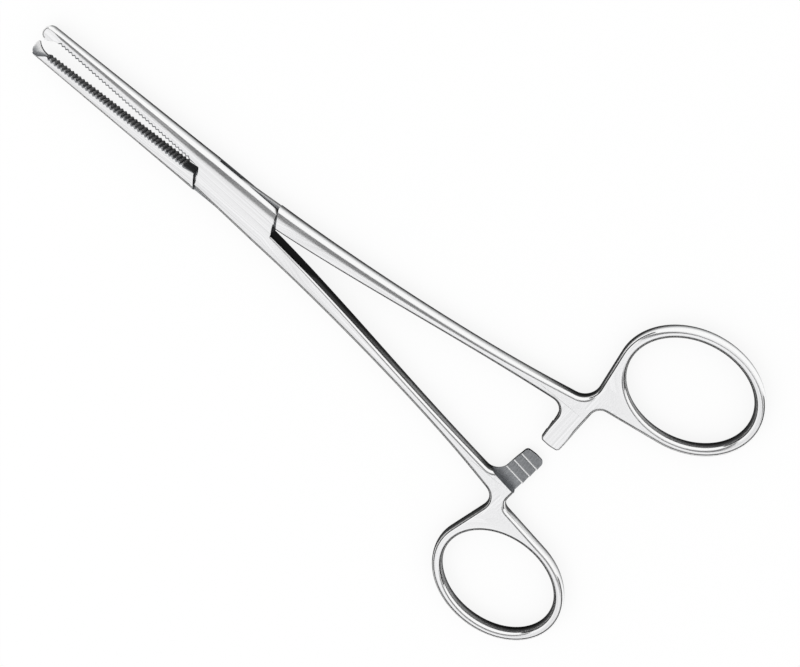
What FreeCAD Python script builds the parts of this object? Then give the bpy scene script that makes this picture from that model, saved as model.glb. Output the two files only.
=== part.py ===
import FreeCAD, Part
import Sketcher
import math
import os

# Straight box-lock artery forceps with one-into-two teeth at the tips.
# Millimetres. +X runs from the hinge to the finger rings, +Z is up, and the origin is on the hinge
# axis at the underside of the lock. Each arm is drawn closed, in its own frame: its jaw on -Y and its
# shank on +Y, about a middle plane at height zero. The box arm is the mirror image of that frame.
# The placement of each arm then turns it open by half of rest_opening and lifts it onto the lock face.

V = FreeCAD.Vector
doc = FreeCAD.newDocument("ArteryForceps")

SIZES = [
    ("rest_opening", 4.5, "angle between the arms as modelled, degrees"),
    ("lock_thickness", 4.6, "height of the box lock"),
    ("lock_front_half_width", 3.7, "hinge axis to the side of the lock, at the jaws"),
    ("lock_rear_half_width", 4.35, "hinge axis to the side of the lock, at the shanks"),
    ("lock_reach", 8.7, "hinge axis to the oblique end edges of the box plates"),
    ("lock_skew", 27.5, "slope of those end edges, degrees"),
    ("lock_bevel_width", 0.8, "bevel along the sides of the lock, seen from above"),
    ("lock_bevel_drop", 1.55, "bevel along the sides of the lock, seen from the end"),
    ("shoulder_gap", 0.12, "running gap at the shoulders of the tongue arm"),
    ("slot_height", 1.5, "opening between the two box plates"),
    ("slot_gap", 0.04, "running gap above and below the tongue"),
    ("slot_radius", 8.2, "hinge axis to the curved ends of the slot"),
    ("neck_half_width", 4.3, "half of the width of the tongue inside the box"),
    ("pin_radius", 1.6, "hinge pin"),
    ("pin_gap", 0.03, "running gap of the pin in the tongue"),
    ("jaw_length", 49.2, "hinge axis to the tips"),
    ("jaw_tip_depth", 1.55, "parting line to the back of the jaw at the tip"),
    ("jaw_tip_thickness", 2.7, "height of the jaw at the tip"),
    ("heel_gap", 0.8, "gap between the closed jaws at their heel"),
    ("bite_gap", 0.1, "gap between the closed jaws behind the tip teeth"),
    ("serration_pitch", 0.85, "spacing of the cross serrations"),
    ("serration_depth", 0.34, "depth of the cross serrations"),
    ("tooth_height", 1.2, "height of the tip teeth above the parting line"),
    ("tooth_length", 2.3, "length of the slope behind the tip teeth"),
    ("tooth_root", 0.55, "half thickness of the single tooth at its root"),
    ("tooth_crest", 0.18, "half thickness of the single tooth at its crest"),
    ("tooth_gap", 0.07, "clearance round the closed teeth"),
    ("twin_crest_inset", 1.3, "tip to the crest of the two teeth"),
    ("single_crest_inset", 0.55, "tip to the crest of the single tooth"),
    ("nose_length", 2.6, "rounded end of the jaw"),
    ("nose_foot", 1.7, "rounding from the tip to the back of the jaw, lengthwise"),
    ("serration_start", 3.4, "end of the lock to the first serration"),
    ("shank_length", 73.2, "hinge axis to the start of the ring and ratchet piece"),
    ("shank_root_inset", 0.3, "parting line to the inner edge of the shank at the lock"),
    ("shank_heel_width", 3.41, "width of the shank behind the lock"),
    ("shank_heel_offset", 3.17, "parting line to the middle of the shank behind the lock"),
    ("shank_middle_width", 2.55, "width of the shank half way"),
    ("shank_middle_offset", 5.25, "parting line to the middle of the shank half way"),
    ("shank_waist_width", 2.47, "width of the shank where it is slimmest"),
    ("shank_waist_offset", 7.05, "parting line to the middle of the shank where it is slimmest"),
    ("shank_end_width", 3.22, "width of the shank at the ratchet"),
    ("shank_end_offset", 8.78, "parting line to the middle of the shank at the ratchet"),
    ("shank_heel_share", 0.22, "share of the shank from the lock to its heel section"),
    ("shank_middle_share", 0.55, "share of the shank from the lock to its middle section"),
    ("shank_waist_share", 0.79, "share of the shank from the lock to its slimmest section"),
    ("inner_bevel_width", 0.35, "bevel along the inner edge of the shank at the lock, seen from above"),
    ("inner_bevel_drop", 0.45, "bevel along the inner edge of the shank at the lock, seen from the side"),
    ("ring_thickness", 3.4, "height of the finger rings"),
    ("ring_bevel_width", 0.65, "bevel along the edges of ring and ratchet, seen from above"),
    ("ring_bevel_drop", 1.1, "bevel along the edges of ring and ratchet, seen from the side"),
    ("ring_length", 26.85, "finger hole, long way"),
    ("ring_breadth", 20.5, "finger hole, short way"),
    ("ring_wire", 2.25, "width of the ring wire"),
    ("ring_ahead", 20.57, "end of the shank to the middle of the finger hole, along X"),
    ("ring_aside", 16.88, "middle of the shank's end to the middle of the finger hole, along Y"),
    ("ring_tilt", 3.65, "slope of the long axis of the finger hole, degrees"),
    ("hub_outer_radius", 3.4, "rounding where the outer edge of the shank meets the ring"),
    ("hub_inner_radius", 2.8, "rounding where the inner edge of the shank meets the ratchet tongue"),
    ("hub_rear_radius", 2.2, "rounding where the ratchet tongue meets the ring"),
    ("hub_rear_aside", 2.77, "middle of the shank's end to the corner of that rounding, along Y"),
    ("hub_outer_ahead", 6.7, "end of the shank to a point on the outer edge of the hub, along X"),
    ("hub_outer_aside", 5.29, "middle of the shank's end to that point, along Y"),
    ("ratchet_ahead", 6.58, "end of the shank to the middle of the ratchet tongue, along X"),
    ("ratchet_width", 4.6, "width of the ratchet tongue at its end"),
    ("ratchet_flare", 0.65, "how far its front edge spreads towards the shank"),
    ("ratchet_reach", 1.0, "how far the tongue passes the parting line"),
    ("ratchet_pitch", 2.15, "spacing of the ratchet teeth"),
    ("ratchet_rise", 0.55, "height of the ratchet teeth"),
    ("ratchet_first", 0.94, "parting line to the first ratchet crest"),
    ("ratchet_gap", 0.05, "middle plane to the ratchet crests"),
    ("ratchet_slant", 6.0, "slope of the ratchet crests, degrees"),
    ("ratchet_steep", 0.12, "run of the steep side of the ratchet teeth"),
    ("ratchet_wall", 0.45, "inner edge of the shank to the wall behind the last ratchet tooth"),
    ("ratchet_swell", 1.2, "how far the end of the ratchet tongue bulges across twice its width"),
]
RATCHET_TEETH = 3
LOBE_STEPS = 5

sheet = doc.addObject("Spreadsheet::Sheet", "Sizes")
for row, (alias, value, note) in enumerate(SIZES, start=1):
    sheet.set(f"A{row}", note)
    sheet.set(f"B{row}", str(value))
    sheet.setAlias(f"B{row}", alias)
doc.recompute()


def size(alias):
    """The value that the sheet holds under this alias."""
    return float(sheet.get(alias))


# FAR is larger than any piece, for the tools that cut it, and SPARE is how far a tool or a piece runs on
# past the face that it meets.
FAR = 60.0
SPARE = 1.0
HALF = size("lock_thickness") / 2
SKEW = math.radians(size("lock_skew"))
REACH = size("lock_reach")
JAW_START = -REACH - 0.3 * SPARE
SHANK_START = REACH - SPARE
TOOTH_FOOT = size("twin_crest_inset") + size("tooth_length") - size("jaw_length")
SLOPE = math.tan(math.radians(size("ratchet_slant")))
OUTER_RUN = V(1, 0.22, 0).normalize()
INNER_RUN = V(1, 0.11, 0).normalize()
RING_X = size("shank_length") + size("ring_ahead")
RING_Y = size("shank_end_offset") + size("ring_aside")
RATCHET_X = size("shank_length") + size("ratchet_ahead")


# The half-round back of a jaw: how far its flat tops run out, and how full its shoulder is.
BACK_RUN = 0.62
BACK_FULL = 0.66
# The nose, as shares of the section behind it: depth, height and the flat stretch on top.
NOSE = (0.8, 0.72, 0.25)


def feature(name, shape):
    """A plain feature that holds one computed outline."""
    made = doc.addObject("Part::Feature", name)
    made.Shape = shape
    return made


def extrude(name, face, height, direction=V(0, 0, 1)):
    """A solid swept evenly to both sides of an outline; height is an expression on the sheet."""
    made = doc.addObject("Part::Extrusion", name)
    made.Base = feature(name + "_outline", face)
    made.DirMode = "Custom"
    made.Dir = direction
    made.Symmetric = True
    made.Solid = True
    made.setExpression("LengthFwd", height)
    doc.recompute()
    return made


def join(kind, name, pieces):
    """A fusion (Part::MultiFuse) or an intersection (Part::MultiCommon) of several pieces."""
    made = doc.addObject(kind, name)
    made.Shapes = pieces
    doc.recompute()
    return made


def cut(name, base, tool):
    """The base with the tool taken away."""
    made = doc.addObject("Part::Cut", name)
    made.Base = base
    made.Tool = tool
    doc.recompute()
    return made


def polygon(points):
    """A face from corner points."""
    return Part.Face(Part.makePolygon(points + points[:1]))


def line(start, end):
    return Part.LineSegment(start, end).toShape()


def crossing(point, direction, other, other_direction):
    """Where two straight lines in the plane meet."""
    across = direction.x * other_direction.y - direction.y * other_direction.x
    gap = other - point
    along = (gap.x * other_direction.y - gap.y * other_direction.x) / across
    return point + direction * along


def rounded_corner(before, corner, after, radius):
    """The arc that rounds a corner: its edge and its two tangent points."""
    back = (before - corner).normalize()
    ahead = (after - corner).normalize()
    half_turn = math.acos(max(-1.0, min(1.0, back.dot(ahead)))) / 2
    reach = radius / math.tan(half_turn)
    bisector = (back + ahead).normalize()
    centre = corner + bisector * (radius / math.sin(half_turn))
    start = corner + back * reach
    end = corner + ahead * reach
    return Part.Arc(start, centre - bisector * radius, end).toShape(), start, end


def ellipse(margin):
    """The finger hole's ellipse, grown by a margin: its centre and its two half axes."""
    tilt = math.radians(size("ring_tilt"))
    centre = V(RING_X, RING_Y, 0)
    along = V(math.cos(tilt), math.sin(tilt), 0)
    across = V(-math.sin(tilt), math.cos(tilt), 0)
    return centre, along * (size("ring_length") / 2 + margin), across * (size("ring_breadth") / 2 + margin)


def tangent_point(outline, point, turn):
    """Where a straight line from an outside point touches the ellipse; turn picks one of the two."""
    centre, along, across = outline
    offset = point - centre
    u = offset.dot(along) / along.dot(along)
    v = offset.dot(across) / across.dot(across)
    angle = math.atan2(v, u) + turn * math.acos(1 / math.hypot(u, v))
    return centre + along * math.cos(angle) + across * math.sin(angle), angle


def ellipse_edge(outline, start=0.0, end=2 * math.pi):
    """An elliptical edge between two parameters of the outline."""
    centre, along, across = outline
    return Part.Ellipse(centre + along, centre + across, centre).toShape(start, end)


def spline(points, first=None, last=None):
    """A smooth edge through the points, with an optional direction at each end."""
    made = Part.BSplineCurve()
    if first is None:
        made.interpolate(points)
    else:
        made.interpolate(points, InitialTangent=first, FinalTangent=last)
    return made.toShape()


def curve(poles):
    """A Bezier edge from its control points."""
    made = Part.BezierCurve()
    made.setPoles(poles)
    return made.toShape()


def jaw_line(x):
    """How far the jaw's flat face stands off the parting line, from the heel gap to the bite gap."""
    heel = -REACH
    share = (x - heel) / (-size("jaw_length") - heel)
    return size("heel_gap") / 2 + share * (size("bite_gap") - size("heel_gap")) / 2


def lock_side(x):
    """Half width of the lock at x: it widens evenly from the jaws to the shanks."""
    front = size("lock_front_half_width")
    return front + (size("lock_rear_half_width") - front) * (x + REACH) / (2 * REACH)


def oblique(rear, y):
    """The point at height y on an oblique end edge of the box plates, in the box arm's frame."""
    end = REACH if rear else -REACH
    return V((end + y * math.sin(SKEW)) / math.cos(SKEW), y, 0)


def lock_corners(tongue):
    """Corner points of the arm's two oblique ends in the lock: three at the front, three at the rear.

    The box arm ends square to the jaws' oblique shoulders. The tongue arm narrows to its neck instead.
    """
    beyond = size("lock_rear_half_width") + SPARE
    front_y = -jaw_line(-REACH)
    if not tongue:
        return [oblique(False, front_y), oblique(False, 0), oblique(False, beyond)], [
            oblique(True, -beyond), oblique(True, 0), oblique(True, size("shank_root_inset"))]
    run = V(math.cos(SKEW), math.sin(SKEW), 0)
    side = V(-run.y, run.x, 0) * size("neck_half_width")
    radius = size("slot_radius") - 3 * size("shoulder_gap")
    half_chord = math.sqrt(radius ** 2 - size("neck_half_width") ** 2)
    upper = crossing(side, run, V(0, beyond, 0), V(1, 0, 0))
    lower = crossing(side * -1, run, V(0, -beyond, 0), V(1, 0, 0))
    front = [V(-REACH, front_y, 0), side - run * half_chord, upper]
    return front, [lower, side * -1 + run * half_chord, V(REACH, size("shank_root_inset"), 0)]


def lock_plan():
    """The tapering bar of the lock seen from above, and its two long sides."""
    front, rear = JAW_START - 1.3 * SPARE, REACH + 1.6 * SPARE
    corners = [V(front, lock_side(front), 0), V(rear, lock_side(rear), 0)]
    corners += [V(p.x, -p.y, 0) for p in reversed(corners)]
    return polygon(corners), [line(corners[0], corners[1]), line(corners[2], corners[3])]


def end_plan():
    """The finger ring with its hub and ratchet tongue, seen from above, and the edges that are bevelled."""
    start = size("shank_length")
    end = size("shank_end_offset")
    end_half = size("shank_end_width") / 2
    outer_end = V(start, end + end_half, 0)
    inner_end = V(start, end - end_half, 0)
    rear = RATCHET_X + size("ratchet_width") / 2
    front = RATCHET_X - size("ratchet_width") / 2
    tip = -size("ratchet_reach")
    past = tip - 2 * SPARE
    ring = ellipse(size("ring_wire"))
    neck_in = V(rear, end + size("hub_rear_aside"), 0)
    neck_out = V(start + size("hub_outer_ahead"), end + size("hub_outer_aside"), 0)
    touch_in, low = tangent_point(ring, neck_in, 1)
    touch_out, high = tangent_point(ring, neck_out, -1)
    front_end = V(front, past, 0)
    rear_end = V(rear, past, 0)
    front_run = V(-size("ratchet_flare"), end - end_half - tip, 0)
    inner_corner = crossing(front_end, front_run, inner_end, INNER_RUN)
    outer_corner = crossing(outer_end, OUTER_RUN, neck_out, neck_out - touch_out)

    inner_arc, inner_start, inner_stop = rounded_corner(
        inner_end, inner_corner, front_end, size("hub_inner_radius"))
    rear_arc, rear_start, rear_stop = rounded_corner(
        rear_end, neck_in, touch_in, size("hub_rear_radius"))
    outer_arc, outer_start, outer_stop = rounded_corner(
        outer_end, outer_corner, touch_out, size("hub_outer_radius"))
    edges = [
        line(outer_end, outer_start),
        outer_arc,
        line(outer_stop, touch_out),
        ellipse_edge(ring, low, high + 2 * math.pi if high < low else high),
        line(touch_in, rear_stop),
        rear_arc,
        line(rear_start, rear_end),
        line(front_end, inner_stop),
        inner_arc,
        line(inner_start, inner_end),
    ]
    hole = ellipse_edge(ellipse(0.0))
    ends = [line(rear_end, front_end), line(inner_end, outer_end)]
    outside = Part.Wire(Part.__sortEdges__(edges + ends))
    return Part.Face([outside, Part.Wire([hole])]), edges + [hole]


def bevelled(name, base, stretches, width, drop):
    """The base with bevels along chosen stretches of its outline, on its top and its underside."""
    edges = []
    for number, edge in enumerate(base.Shape.Edges, start=1):
        if edge.BoundBox.ZLength > 0.001:
            continue
        middle = edge.valueAt((edge.FirstParameter + edge.LastParameter) / 2)
        middle.z = 0
        spot = Part.Vertex(middle)
        if any(spot.distToShape(piece)[0] < 0.001 for piece in stretches):
            edges.append((number, drop, width))
    made = doc.addObject("Part::Chamfer", name)
    made.Base = base
    made.Edges = edges
    doc.recompute()
    return made


def shank_section(x, offset, width, share, slopes):
    """The shank cut across at x: an octagon, with its bevels a share of the way from lock to ring size."""
    height = HALF + (size("ring_thickness") / 2 - HALF) * share
    sides = []
    for start, way, slope in (("lock_bevel", 1, slopes[0]), ("inner_bevel", -1, slopes[1])):
        wide = size(start + "_width") + (size("ring_bevel_width") - size(start + "_width")) * share
        drop = size(start + "_drop") + (size("ring_bevel_drop") - size(start + "_drop")) * share
        edge = offset + way * width / 2
        shoulder = edge - way * wide / slope
        sides.append([(shoulder, height), (edge, height - drop), (edge, drop - height), (shoulder, -height)])
    corners = [V(x, y, z) for y, z in sides[0] + sides[1][::-1]]
    return Part.makePolygon(corners + corners[:1])


def shank_bar(name):
    """The slender shank from the lock to the ring, as a smooth loft over its sections."""
    start, end = SHANK_START, size("shank_length")
    root_out, root_in = lock_side(start), size("shank_root_inset")
    stations = [
        (0.0, (root_out + root_in) / 2, root_out - root_in, (1, 1)),
        (size("shank_heel_share"), size("shank_heel_offset"), size("shank_heel_width"), (1, 1)),
        (size("shank_middle_share"), size("shank_middle_offset"), size("shank_middle_width"), (1, 1)),
        (size("shank_waist_share"), size("shank_waist_offset"), size("shank_waist_width"), (1, 1)),
        (1.0, size("shank_end_offset"), size("shank_end_width"), (OUTER_RUN.x, INNER_RUN.x)),
    ]
    sections = []
    for number, (share, offset, width, slopes) in enumerate(stations, start=1):
        cut_at = start + (end - start) * share
        wire = shank_section(cut_at, offset, width, share, slopes)
        sections.append(feature(f"{name}_section_{number}", wire))
    made = doc.addObject("Part::Loft", name)
    made.Sections = sections
    made.Solid = True
    made.Ruled = False
    doc.recompute()
    return made


def jaw_section(x, back, height, flat):
    """The jaw cut across at x: flat towards the other jaw, rounded behind, flat for a stretch on top."""
    inner = 2 * size("tooth_height")
    start = -flat
    curves = []
    for sign in (1, -1):
        curves.append(curve([
            V(x, start, sign * height),
            V(x, start + BACK_RUN * (-back - start), sign * height),
            V(x, -back, sign * height * BACK_FULL),
            V(x, -back, 0),
        ]))
    edges = [
        line(V(x, inner, height), V(x, start, height)),
        curves[0],
        curves[1],
        line(V(x, start, -height), V(x, inner, -height)),
        line(V(x, inner, -height), V(x, inner, height)),
    ]
    return Part.Wire(Part.__sortEdges__(edges))


def jaw_blank(name):
    """The tapering half-round bar that both jaws are cut from, as a loft over its sections."""
    tip = size("jaw_length")
    tip_back = size("jaw_tip_depth")
    tip_half = size("jaw_tip_thickness") / 2
    root_back = lock_side(JAW_START)
    taper = (root_back - tip_back) / (tip + JAW_START)
    nose = size("nose_length")
    depth, height, flat = NOSE
    stations = [
        (JAW_START, root_back, HALF, root_back - size("lock_bevel_width")),
        (nose - tip, tip_back + taper * nose, tip_half, tip_back / 2),
        (-tip - SPARE / 2, tip_back * depth, tip_half * height, tip_back * flat),
    ]
    sections = [feature(f"{name}_section_{i}", jaw_section(*s)) for i, s in enumerate(stations, start=1)]
    made = doc.addObject("Part::Loft", name)
    made.Sections = sections
    made.Solid = True
    made.Ruled = True
    doc.recompute()
    return made


def lobe(grow):
    """Points up the rear slope of the tip teeth, from their foot to their crest, grown by a clearance."""
    points = []
    for step in range(LOBE_STEPS + 1):
        share = step / LOBE_STEPS
        rise = size("tooth_height") * (1 - math.cos(math.pi * share)) / 2
        points.append(V(TOOTH_FOOT - size("tooth_length") * share + grow, rise + grow, 0))
    return points


def jaw_outline(tongue):
    """The jaw seen from above: serrations, the rising tip teeth and the rounded tip."""
    tip = -size("jaw_length")
    pitch = size("serration_pitch")
    depth = size("serration_depth")
    heel = -REACH - size("serration_start")
    foot = TOOTH_FOOT
    count = int((heel - foot) / pitch - 0.3)
    side = 1 if tongue else -1
    behind = -size("lock_rear_half_width") - SPARE
    points = [V(JAW_START, behind, 0), V(JAW_START, -jaw_line(-REACH), 0)]
    points.append(V(heel, -jaw_line(heel) - side * depth / 2, 0))
    for tooth in range(count):
        for half, way in ((0.5, 1), (1.0, -1)):
            x = heel - (tooth + half) * pitch
            points.append(V(x, -jaw_line(x) + way * side * depth / 2, 0))
    rise = size("tooth_height")
    if tongue:
        crest = V(tip + size("single_crest_inset"), rise + size("bite_gap"), 0)
        climb = spline([V(foot, -jaw_line(foot), 0), V(foot - depth, -jaw_line(heel), 0), crest])
    else:
        crest = V(tip + size("twin_crest_inset"), rise, 0)
        climb = spline(lobe(0.0))
    front = V(tip, -size("jaw_tip_depth") / 10, 0)
    under = V(tip + size("nose_foot"), -size("jaw_tip_depth") * 1.06, 0)
    edges = [line(a, b) for a, b in zip(points, points[1:])]
    edges.append(line(points[-1], climb.Vertexes[0].Point))
    edges.append(climb)
    edges.append(curve([crest, V(tip, crest.y, 0), front]))
    edges.append(curve([front, V(tip, under.y, 0), under]))
    back = V(under.x, behind, 0)
    edges.append(line(under, back))
    edges.append(line(back, points[0]))
    return Part.Face(Part.Wire(Part.__sortEdges__(edges)))


def shoulder_tool(name):
    """What the tongue arm loses above or below its neck, between its two shoulders."""
    normal = V(math.cos(SKEW), math.sin(SKEW), 0)
    run = V(-normal.y, normal.x, 0)
    corner = oblique(True, -lock_side(REACH))
    reach = max(REACH, corner.Length) + size("shoulder_gap")
    strip = polygon([
        normal * reach + run * FAR,
        normal * reach - run * FAR,
        normal * -reach - run * FAR,
        normal * -reach + run * FAR,
    ])
    return extrude(name, strip, "Sizes.lock_thickness * 2")


def neck_layer(name):
    """The layer between the box plates, as thick as the tongue arm's neck."""
    made = doc.addObject("Part::Box", name)
    made.setExpression("Height", "Sizes.slot_height - 2 * Sizes.slot_gap")
    made.Length = 4 * FAR
    made.Width = 4 * FAR
    made.Placement.Base = V(-2 * FAR, -2 * FAR, 0)
    made.setExpression("Placement.Base.z", "-(Sizes.slot_height - 2 * Sizes.slot_gap) / 2")
    doc.recompute()
    return made


def slot_tool(name):
    """The opening through the box: round about the hinge, and open to both of its sides."""
    disc = doc.addObject("Part::Cylinder", name + "_disc")
    disc.setExpression("Radius", "Sizes.slot_radius")
    disc.setExpression("Height", "Sizes.slot_height")
    disc.setExpression("Placement.Base.z", "-Sizes.slot_height / 2")
    ahead = polygon([
        V(0, -jaw_line(-REACH), 0),
        V(0, 2 * REACH, 0),
        V(-3 * REACH, 2 * REACH, 0),
        V(-3 * REACH, -jaw_line(-REACH), 0),
    ])
    behind = polygon([
        V(0, size("shank_root_inset"), 0),
        V(0, -2 * REACH, 0),
        V(3 * REACH, -2 * REACH, 0),
        V(3 * REACH, size("shank_root_inset"), 0),
    ])
    ahead_tool = extrude(name + "_ahead", ahead, "Sizes.slot_height")
    behind_tool = extrude(name + "_behind", behind, "Sizes.slot_height")
    return join("Part::MultiFuse", name, [disc, ahead_tool, behind_tool])


def bore_tool(name, radius):
    """A hole along the hinge axis; radius is an expression on the sheet."""
    made = doc.addObject("Part::Cylinder", name)
    made.setExpression("Radius", radius)
    made.setExpression("Height", "Sizes.lock_thickness * 2")
    made.setExpression("Placement.Base.z", "-Sizes.lock_thickness")
    doc.recompute()
    return made


def ratchet_tool(name, facing, slant):
    """What a tongue loses on the side of its ratchet teeth; facing is 1 for teeth on top, -1 below.

    A ramp rises towards each crest from the tip of the tongue, and drops steeply behind it.
    """
    crest = -size("ratchet_gap")
    root = crest - size("ratchet_rise")
    pitch = size("ratchet_pitch")
    first = size("ratchet_first")
    grade = size("ratchet_rise") / pitch
    lead = first + size("ratchet_reach") + SPARE
    steep = size("ratchet_steep")
    profile = [(first - lead, crest - grade * lead)]
    for tooth in range(RATCHET_TEETH):
        y = first + tooth * pitch
        profile.append((y, crest))
        profile.append((y + steep, root + (steep * grade if tooth < RATCHET_TEETH - 1 else 0)))
    wall = size("shank_end_offset") - size("shank_end_width") / 2 + size("ratchet_wall")
    profile += [(wall, root), (wall, HALF + SPARE), (first - lead, HALF + SPARE)]
    face = polygon([V(RATCHET_X, y, facing * z) for y, z in profile])
    run = V(1, slant * SLOPE, 0)
    return extrude(name, face, "Sizes.ratchet_width * 2", run)


def end_tools(name, tongue):
    """What the lock bar loses at its two oblique ends, and what the ratchet tongue loses at its own."""
    front, rear = lock_corners(tongue)
    far_end = 2 * REACH
    ahead = polygon(front + [V(-far_end, front[2].y, 0), V(-far_end, front[0].y, 0)])
    above = front[2].y
    behind = polygon(rear + [
        V(SHANK_START, rear[2].y, 0),
        V(SHANK_START, above, 0),
        V(far_end, above, 0),
        V(far_end, rear[0].y, 0),
    ])
    left = RATCHET_X - size("ratchet_width")
    right = RATCHET_X + size("ratchet_width")
    tip = -size("ratchet_reach")
    swell = size("ratchet_swell")
    arc = Part.Arc(V(left, tip + swell, 0), V((left + right) / 2, tip, 0), V(right, tip + swell, 0)).toShape()
    below = Part.Face(Part.Wire(Part.__sortEdges__([
        arc,
        line(V(right, tip + swell, 0), V(right, tip - FAR, 0)),
        line(V(right, tip - FAR, 0), V(left, tip - FAR, 0)),
        line(V(left, tip - FAR, 0), V(left, tip + swell, 0)),
    ])))
    height = "Sizes.lock_thickness * 2"
    obliques = join("Part::MultiFuse", name + "_obliques", [
        extrude(name + "_ahead", ahead, height),
        extrude(name + "_behind", behind, height),
    ])
    return obliques, extrude(name + "_below", below, height)


def tip_tool(name, tongue):
    """What a jaw loses at its tip: the notch between two teeth, or the hollows beside the single one."""
    tip = -size("jaw_length")
    past = tip - SPARE
    gap = size("tooth_gap")
    rise = size("tooth_height")
    depth = rise + 3 * gap
    root = size("tooth_root")
    crest = size("tooth_crest")
    reach = 2 * rise
    if tongue:
        grade = (root - crest) / (rise + depth)
        low, high = -depth, rise + gap + SPARE / 2
        crest -= grade * (high - rise)
        wedge = polygon([V(tip, low, root), V(tip, high, crest), V(tip, high, HALF), V(tip, low, HALF)])
        floor = [V(p.x + gap, -p.y - gap, 0) for p in lobe(0.0)]
        plan = Part.Face(Part.Wire(Part.__sortEdges__([
            spline(floor),
            line(floor[-1], V(past, -depth, 0)),
            line(V(past, -depth, 0), V(past, reach, 0)),
            line(V(past, reach, 0), V(floor[0].x, reach, 0)),
            line(V(floor[0].x, reach, 0), floor[0]),
        ])))
        below = polygon([V(tip, low, -root), V(tip, high, -crest), V(tip, high, -HALF), V(tip, low, -HALF)])
        upper = extrude(name + "_upper", wedge, "Sizes.jaw_length", V(1, 0, 0))
        lower = extrude(name + "_lower", below, "Sizes.jaw_length", V(1, 0, 0))
        block = extrude(name + "_plan", plan, "Sizes.lock_thickness * 2")
        sides = join("Part::MultiFuse", name + "_sides", [upper, lower])
        return join("Part::MultiCommon", name, [sides, block])
    low, high = -depth - gap, size("tooth_height") + gap
    wedge = polygon([
        V(tip, high, root + gap),
        V(tip, high, -root - gap),
        V(tip, low, -crest - gap),
        V(tip, low, crest + gap),
    ])
    plan = polygon([
        V(TOOTH_FOOT, reach, 0),
        V(TOOTH_FOOT - size("serration_depth"), 0, 0),
        V(tip + size("twin_crest_inset"), low, 0),
        V(past, low, 0),
        V(past, reach, 0),
    ])
    bar = extrude(name + "_bar", wedge, "Sizes.jaw_length", V(1, 0, 0))
    block = extrude(name + "_plan", plan, "Sizes.lock_thickness * 2")
    return join("Part::MultiCommon", name, [bar, block])


def arm(name, tongue):
    """One arm, still closed and in its own frame."""
    plan, sides = lock_plan()
    bar = extrude(name + "_lock_bar", plan, "Sizes.lock_thickness")
    lock = bevelled(name + "_lock", bar, sides, size("lock_bevel_width"), size("lock_bevel_drop"))
    obliques, below = end_tools(name, tongue)
    lock_piece = cut(name + "_lock_piece", lock, obliques)
    plan, stretches = end_plan()
    ring_bar = extrude(name + "_ring_bar", plan, "Sizes.ring_thickness")
    ring = bevelled(name + "_ring", ring_bar, stretches, size("ring_bevel_width"), size("ring_bevel_drop"))
    ring_piece = cut(name + "_ring_piece", ring, below)
    handle = join("Part::MultiFuse", name + "_handle", [lock_piece, shank_bar(name + "_shank"), ring_piece])
    bar = extrude(name + "_jaw_plan", jaw_outline(tongue), "Sizes.lock_thickness * 2")
    jaw = join("Part::MultiCommon", name + "_jaw", [bar, jaw_blank(name + "_blank")])
    toothed = cut(name + "_teeth", jaw, tip_tool(name + "_tip", tongue))
    whole = join("Part::MultiFuse", name + "_whole", [handle, toothed])
    if tongue:
        layer = neck_layer(name + "_layer")
        shoulders = cut(name + "_shoulders", shoulder_tool(name + "_strip"), layer)
        thinned = cut(name + "_neck", whole, shoulders)
        bored = cut(name + "_bored", thinned, bore_tool(name + "_bore", "Sizes.pin_radius + Sizes.pin_gap"))
        return cut(name, bored, ratchet_tool(name + "_ratchet", -1, -1))
    slotted = cut(name + "_box", whole, slot_tool(name + "_slot"))
    bored = cut(name + "_bored", slotted, bore_tool(name + "_bore", "Sizes.pin_radius"))
    return cut(name + "_drawn", bored, ratchet_tool(name + "_ratchet", 1, 1))


def pin(name):
    """The hinge pin: a round bar ground flush with both plates of the box."""
    body = doc.addObject("PartDesign::Body", name)
    circle = body.newObject("Sketcher::SketchObject", name + "_circle")
    circle.addGeometry(Part.Circle(V(0, 0, 0), V(0, 0, 1), size("pin_radius")), False)
    circle.addConstraint(Sketcher.Constraint("Coincident", 0, 3, -1, 1))
    circle.addConstraint(Sketcher.Constraint("Radius", 0, size("pin_radius")))
    circle.setExpression("Constraints[1]", "Sizes.pin_radius")
    pad = body.newObject("PartDesign::Pad", name + "_length")
    pad.Profile = circle
    pad.setExpression("Length", "Sizes.lock_thickness")
    doc.recompute()
    return body


def settle(piece, turn):
    """Turns a piece about the hinge by an expression and lifts it onto the lock's underside."""
    piece.Placement.Rotation = FreeCAD.Rotation(V(0, 0, 1), 1)
    piece.setExpression("Placement.Rotation.Angle", turn)
    piece.setExpression("Placement.Base.z", "Sizes.lock_thickness / 2")
    doc.recompute()


tongue_arm = arm("tongue_arm", True)
box_half = arm("box_half", False)
box_arm = doc.addObject("Part::Mirroring", "box_arm")
box_arm.Source = box_half
box_arm.Normal = V(0, 1, 0)
doc.recompute()

hinge_pin = pin("hinge_pin")

settle(tongue_arm, "Sizes.rest_opening / 2")
settle(box_arm, "-Sizes.rest_opening / 2")

for made in doc.Objects:
    if any(word in made.State for word in ("Invalid", "Error")):
        raise RuntimeError(f"{made.Name} failed to build: {made.State}")

os.makedirs("parts", exist_ok=True)
for node in (box_arm, tongue_arm, hinge_pin):
    if node.Shape.isNull() or not node.Shape.isValid():
        raise RuntimeError(f"{node.Label} has no valid shape")
    if len(node.Shape.Solids) != 1:
        raise RuntimeError(f"{node.Label} is not one solid")
    node.Shape.exportStep(f"parts/{node.Label}.step")
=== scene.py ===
import math

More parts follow.
